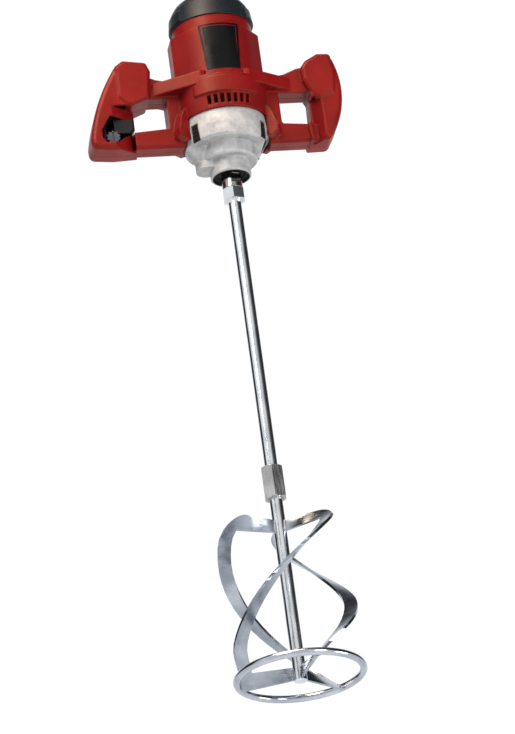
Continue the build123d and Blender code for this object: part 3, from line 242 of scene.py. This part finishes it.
# %% Inner finishes
copper = drawn_steel("copper_wire", (0.42, 0.16, 0.07), (0.62, 0.27, 0.13), 0.3, (1, 1, 0.1), 1200)
brass = drawn_steel("brass_sheet", (0.55, 0.42, 0.16), (0.72, 0.57, 0.25), 0.28)
lamination = drawn_steel("laminated_iron", (0.10, 0.10, 0.105), (0.19, 0.19, 0.2), 0.45, (1, 1, 6), 2400)
carbon = moulded_plastic("carbon_block", (0.010, 0.010, 0.010), (0.022, 0.022, 0.022), 0.55)

# %% [markdown]
# ## Painting the nodes
# Each part of the frame names a material slot in the record. One table from slot to finish paints
# them all. The finish goes on the object rather than the mesh, so the frame's own data stays as is.

# %% Assign finishes by slot
finish_of_slot = {
    "red_shell": red_plastic, "black_cap": black_plastic, "black_trim": trim_plastic, "dial": dial_plastic,
    "louvre": trim_plastic, "cast_aluminium": cast_aluminium, "zinc_steel": zinc_steel,
    "blade_steel": blade_steel, "bright_steel": bright_steel, "bearing_steel": gear_steel,
    "gear_steel": gear_steel, "lamination": lamination, "copper": copper, "brass": brass, "carbon": carbon,
    "fan_plastic": fan_plastic, "seal_rubber": seal_rubber, "plate_film": label_film,
}
# three parts get a finish of their own within the bright steel slot
finish_of_node = {"output_spindle": spindle_steel, "coupling_sleeve": hexagon_steel,
                  "mixing_ring": ring_steel}
slot_of_node = {entry["node"]: entry["material_slot"] for entry in frame["record"]["subparts"]}


def paint(thing, finish):
    """Give every material slot of an object this finish."""
    if not thing.material_slots:
        thing.data.materials.append(finish)
    for place in thing.material_slots:
        place.link = "OBJECT"
        place.material = finish


for name, node in nodes.items():
    paint(node, finish_of_node.get(name, finish_of_slot[slot_of_node[name]]))
finishes_used = {*finish_of_slot.values(), *finish_of_node.values()}
print("painted", len(nodes), "parts with", len(finishes_used), "finishes")

# %% [markdown]
# ## Soft edges
# A moulded or cast edge is never knife sharp, and its small radius catches a line of light. A bevel
# modifier rounds only edges that are clearly sharp, and hardened normals keep the flats flat. The
# blades are left alone, since a rounded edge would sparkle on such thin strips.

# %% Round the sharp edges
edge_radius = {"red_shell": 0.0009, "black_cap": 0.0008, "cast_aluminium": 0.0007, "black_trim": 0.0005,
               "dial": 0.0004, "bright_steel": 0.0003}


def soften(thing, radius, sharp_angle=35):
    """Round the edges sharper than an angle in degrees."""
    rounding = thing.modifiers.new("edge_radius", "BEVEL")
    rounding.width = radius
    rounding.segments = 2
    rounding.limit_method = "ANGLE"
    rounding.angle_limit = radians(sharp_angle)
    rounding.harden_normals = True
    for face in thing.data.polygons:
        face.use_smooth = True


for name, node in nodes.items():
    if slot_of_node[name] in edge_radius:
        soften(node, edge_radius[slot_of_node[name]])

# %% [markdown]
# ## Weld beads
# The blades are flat steel strips, twisted hot and then welded to the rod at the top arm and at the
# foot, and to the ring. A weld run is a small lumpy bar in the corner between two parts. It could be
# a bevelled curve, but sweeping circles of a changing radius along a path gives the ripples too, and
# every bead of one blade then goes into a single mesh that turns with the spindle. Welds are duller
# than the strips they join, so they have a finish of their own.

# %% Sweep the beads
millimetre = 0.001
ring_height = -655.0
blade_top = 173.0
blade_pitch = 367.0
twist_per_mm = 2 * pi / blade_pitch
blade_count = 3
first_blade = 90
run_points = 14


def sweep_bead(builder, path, radius, steps=9, end_taper=0.45, ripple=0.16, ripple_turn=1.9):
    """Add one rippled bar along a path of points to a mesh under construction."""
    # a small push off the radius, so that the cross product with it never vanishes
    nudge = Vector((0.01, 0.02, 0.03))
    loops = []
    for i, point in enumerate(path):
        along = (path[min(i + 1, len(path) - 1)] - path[max(i - 1, 0)]).normalized()
        outward = Vector((point.x, point.y, 0.0)).normalized()
        side = along.cross(outward + nudge).normalized()
        across = along.cross(side)
        taper = end_taper if i in (0, len(path) - 1) else 1.0
        size = radius * taper * (1 + ripple * sin(ripple_turn * i))
        turns = [2 * pi * k / steps for k in range(steps)]
        loops.append([builder.verts.new(point + size * (cos(t) * side + sin(t) * across)) for t in turns])
    for first, second in zip(loops, loops[1:]):
        for k in range(steps):
            builder.faces.new((first[k], first[(k + 1) % steps], second[(k + 1) % steps], second[k]))
    builder.faces.new(loops[0][::-1])
    builder.faces.new(loops[-1])


def blade_point(turn, height, reach, aside):
    """A point beside a blade: reach along the strip from the axis, aside from its middle plane, in mm."""
    angle = twist_per_mm * (height - blade_top) + turn
    x = reach * cos(angle) - aside * sin(angle)
    y = reach * sin(angle) + aside * cos(angle)
    return Vector((x, y, ring_height + height)) * millimetre


def finish_piece(name, builder, body, finish):
    """Turn a mesh under construction into a painted piece that rides a body."""
    bmesh.ops.recalc_face_normals(builder, faces=builder.faces)
    shape = bpy.data.meshes.new(name)
    builder.to_mesh(shape)
    builder.free()
    piece = bpy.data.objects.new(name, shape)
    bpy.context.scene.collection.objects.link(piece)
    for face in shape.polygons:
        face.use_smooth = True
    paint(piece, finish)
    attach(piece, body)


# each run: lowest and highest point, reach from the axis, distance aside and bead radius, in mm
bead_runs = {"arm at the rod": (160.5, 172.5, 7.4, 2.0, 0.9),
             "foot at the rod": (-3.5, 8.5, 7.4, 2.0, 0.9),
             "foot at the ring": (-3.2, 3.6, 62.1, 2.1, 1.0)}
for number in range(1, blade_count + 1):
    beads = bmesh.new()
    turn = radians(first_blade + 360 / blade_count * (number - 1))
    for low, high, reach, aside, radius in bead_runs.values():
        for face_side in (-1, 1):
            heights = [low + (high - low) * i / (run_points - 1) for i in range(run_points)]
            run = [blade_point(turn, height, reach, face_side * aside) for height in heights]
            sweep_bead(beads, run, radius * millimetre)
    finish_piece(f"weld_beads_{number}", beads, "spindle", weld_steel)
print("weld runs:", blade_count * 2 * len(bead_runs))

# %% [markdown]
# ## Printed border on the name plate
# The plate is blank apart from a thin red line inside its top and sides. It is printed, so here it
# is a ribbon less than a tenth of a millimetre proud of the film, bent to the same cylinder. The
# ribbon narrows towards its lower ends, where the print fades out.

# %% Lay the border on the cylinder
plate_r, ribbon_rise = 45.3, 0.06
film_r = plate_r + ribbon_rise
plate_bottom, plate_top = 30.0, 84.5
half_bottom, half_top = 18.25, 22.0
line_width = 0.8


def half_plate(height):
    """Half the plate's width at a height, in mm."""
    return half_bottom + (half_top - half_bottom) * (height - plate_bottom) / (plate_top - plate_bottom)


inset = 2.4
high_line = plate_top - inset
fade_end = 46.0
side_steps, top_steps = 10, 24
# the ribbon starts at this share of its width and is full after about this many points
end_share, fade_points = 0.15, 8
side_heights = [fade_end + (high_line - fade_end) * i / side_steps for i in range(side_steps + 1)]
top_reach = half_plate(high_line) - inset
left_side = [(-(half_plate(h) - inset), h) for h in side_heights]
top_side = [(-top_reach + 2 * top_reach * i / top_steps, high_line) for i in range(1, top_steps)]
right_side = [(-x, h) for x, h in reversed(left_side)]
outer_line = left_side + top_side + right_side

border = bmesh.new()
pairs = []
for i, (x, h) in enumerate(outer_line):
    nearest_end = min(i, len(outer_line) - 1 - i)
    width = line_width * min(1.0, end_share + nearest_end / fade_points)
    on_top = len(left_side) <= i < len(left_side) + len(top_side)
    shift_x = 0 if on_top else (width if x < 0 else -width)
    shift_h = -width if on_top or nearest_end == len(left_side) - 1 else 0
    edge = []
    for px, ph in ((x, h), (x + shift_x, h + shift_h)):
        edge.append(border.verts.new(Vector((px, -(film_r**2 - px**2) ** 0.5, ph)) * millimetre))
    pairs.append(edge)
for first, second in zip(pairs, pairs[1:]):
    border.faces.new((first[0], second[0], second[1], first[1]))
finish_piece("label_border", border, "machine", red_plastic)
print("border points:", len(outer_line))

# %% [markdown]
# ## Studio
# The mixer hangs in a pale studio with the camera low, looking up at the grips and down the rod.
# Bare metal shows whatever surrounds it, so the light comes from a few large soft panels with
# darker gaps between them. The floor lies below the camera.

# %% Floor, world and lights
floor_z = -3.4


def studio_floor(size=14.0, glow=0.6):
    """Pale floor well below the object, which glows a little."""
    shape = bpy.data.meshes.new("studio_floor")
    builder = bmesh.new()
    bmesh.ops.create_grid(builder, x_segments=2, y_segments=2, size=size)
    builder.to_mesh(shape)
    builder.free()
    floor = bpy.data.objects.new("studio_floor", shape)
    floor.location = (0, 0, floor_z)
    bpy.context.scene.collection.objects.link(floor)
    material, tree, surface = new_finish("studio_paint", (0.84, 0.86, 0.90), 0, 0.7)
    surface.inputs["Emission Color"].default_value = (1, 1, 1, 1)
    surface.inputs["Emission Strength"].default_value = glow
    paint(floor, material)


def soft_panel(name, place, target, width, height, power, colour=(1, 1, 1)):
    """Rectangular soft light at a place, facing a target."""
    light = bpy.data.lights.new(name, "AREA")
    light.shape = "RECTANGLE"
    light.size = width
    light.size_y = height
    light.energy = power
    light.color = colour
    lamp = bpy.data.objects.new(name, light)
    lamp.location = place
    lamp.rotation_euler = (Vector(target) - Vector(place)).to_track_quat("-Z", "Y").to_euler()
    bpy.context.scene.collection.objects.link(lamp)


# the panels round the room: compass angle from +Y in degrees, and brightness
panels = [(-180, 0.85), (-166, 0.9), (-150, 0.30), (-138, 0.34), (-128, 1.0), (-98, 1.0), (-84, 0.03),
          (-42, 0.05), (-24, 1.0), (42, 1.0), (60, 0.05), (118, 0.03), (142, 0.22), (160, 0.8),
          (180, 0.85)]


def banded_air(dark_ceiling=0.05, ceiling_span=(0.66, 0.86), ground_span=(0.02, 0.16), strength=1.04):
    """Surroundings with bright panels and dark gaps, a dark patch overhead and a pale ground."""
    world = bpy.data.worlds.new("studio_air")
    bpy.context.scene.world = world
    world.use_nodes = True
    tree = world.node_tree
    source = tree.nodes.new("ShaderNodeTexCoord")
    split = tree.nodes.new("ShaderNodeSeparateXYZ")
    tree.links.new(source.outputs["Generated"], split.inputs["Vector"])
    compass = tree.nodes.new("ShaderNodeMath")
    compass.operation = "ARCTAN2"
    tree.links.new(split.outputs["X"], compass.inputs[0])
    tree.links.new(split.outputs["Y"], compass.inputs[1])
    round_room = ramp(tree, compass.outputs["Value"], 0, 1, -pi, pi)
    bands = tree.nodes.new("ShaderNodeValToRGB")
    bands.color_ramp.interpolation = "EASE"
    stops = bands.color_ramp.elements
    stops[0].position, stops[1].position = 0, 1
    for stop, (_, level) in zip((stops[0], stops[1]), (panels[0], panels[-1])):
        stop.color = (level, level, level, 1)
    for angle, level in panels[1:-1]:
        stop = stops.new((angle + 180) / 360)
        stop.color = (level * 0.97, level * 0.99, level, 1)
    tree.links.new(round_room, bands.inputs["Fac"])
    overhead = ramp(tree, split.outputs["Z"], 0, 1, *ceiling_span)
    air = tree.nodes.new("ShaderNodeMix")
    air.data_type = "RGBA"
    air.inputs["B"].default_value = (dark_ceiling, dark_ceiling, dark_ceiling * 1.2, 1)
    tree.links.new(overhead, air.inputs["Factor"])
    tree.links.new(bands.outputs["Color"], air.inputs["A"])
    ground = tree.nodes.new("ShaderNodeMix")
    ground.data_type = "RGBA"
    ground.inputs["A"].default_value = (0.95, 0.95, 0.95, 1)
    tree.links.new(ramp(tree, split.outputs["Z"], 0, 1, *ground_span), ground.inputs["Factor"])
    tree.links.new(air.outputs["Result"], ground.inputs["B"])
    background = tree.nodes["Background"]
    tree.links.new(ground.outputs["Result"], background.inputs["Color"])
    background.inputs["Strength"].default_value = strength
    bpy.context.scene.view_settings.view_transform = "Standard"


studio_floor()
banded_air()
soft_panel("key", (-1.6, -2.2, 1.6), (0, 0, -0.1), 1.2, 1.2, 52, (1, 0.95, 0.9))
soft_panel("front_fill", (1.4, -2.6, -0.6), (0, 0, -0.2), 0.9, 1.6, 30)
soft_panel("side_fill", (2.3, -1.0, -1.1), (0, 0, 0.03), 1.0, 1.0, 22)
soft_panel("warm_top", (-0.7, -0.9, 2.0), (0, 0, 0), 1.7, 1.7, 80, (1, 0.76, 0.55))

# %% [markdown]
# ## Camera
# The picture is taken from low in front with a long lens, which flattens the perspective, and with
# the camera rolled a little so that the rod leans across the frame.

# %% Place the camera
camera_place = Vector((-1.0766, -5.2916, ring_height * millimetre - 2.0515))
camera_turn = radians(11.5)
camera_pitch = radians(23.984)
camera_roll = radians(-7.8906)
level_share = cos(camera_pitch)
forward = Vector((level_share * sin(camera_turn), level_share * cos(camera_turn), sin(camera_pitch)))
level = Vector((cos(camera_turn), -sin(camera_turn), 0))
above = level.cross(forward)
right = level * cos(camera_roll) + above * sin(camera_roll)
up = above * cos(camera_roll) - level * sin(camera_roll)

camera_data = bpy.data.cameras.new("camera")
camera_data.sensor_width = 36
camera_data.lens = 274.8
camera_data.clip_end = 60
camera = bpy.data.objects.new("camera", camera_data)
camera.matrix_world = Matrix.Translation(camera_place) @ Matrix((right, up, -forward)).transposed().to_4x4()
bpy.context.scene.collection.objects.link(camera)
bpy.context.scene.camera = camera
print("camera at", [round(value, 3) for value in camera_place])
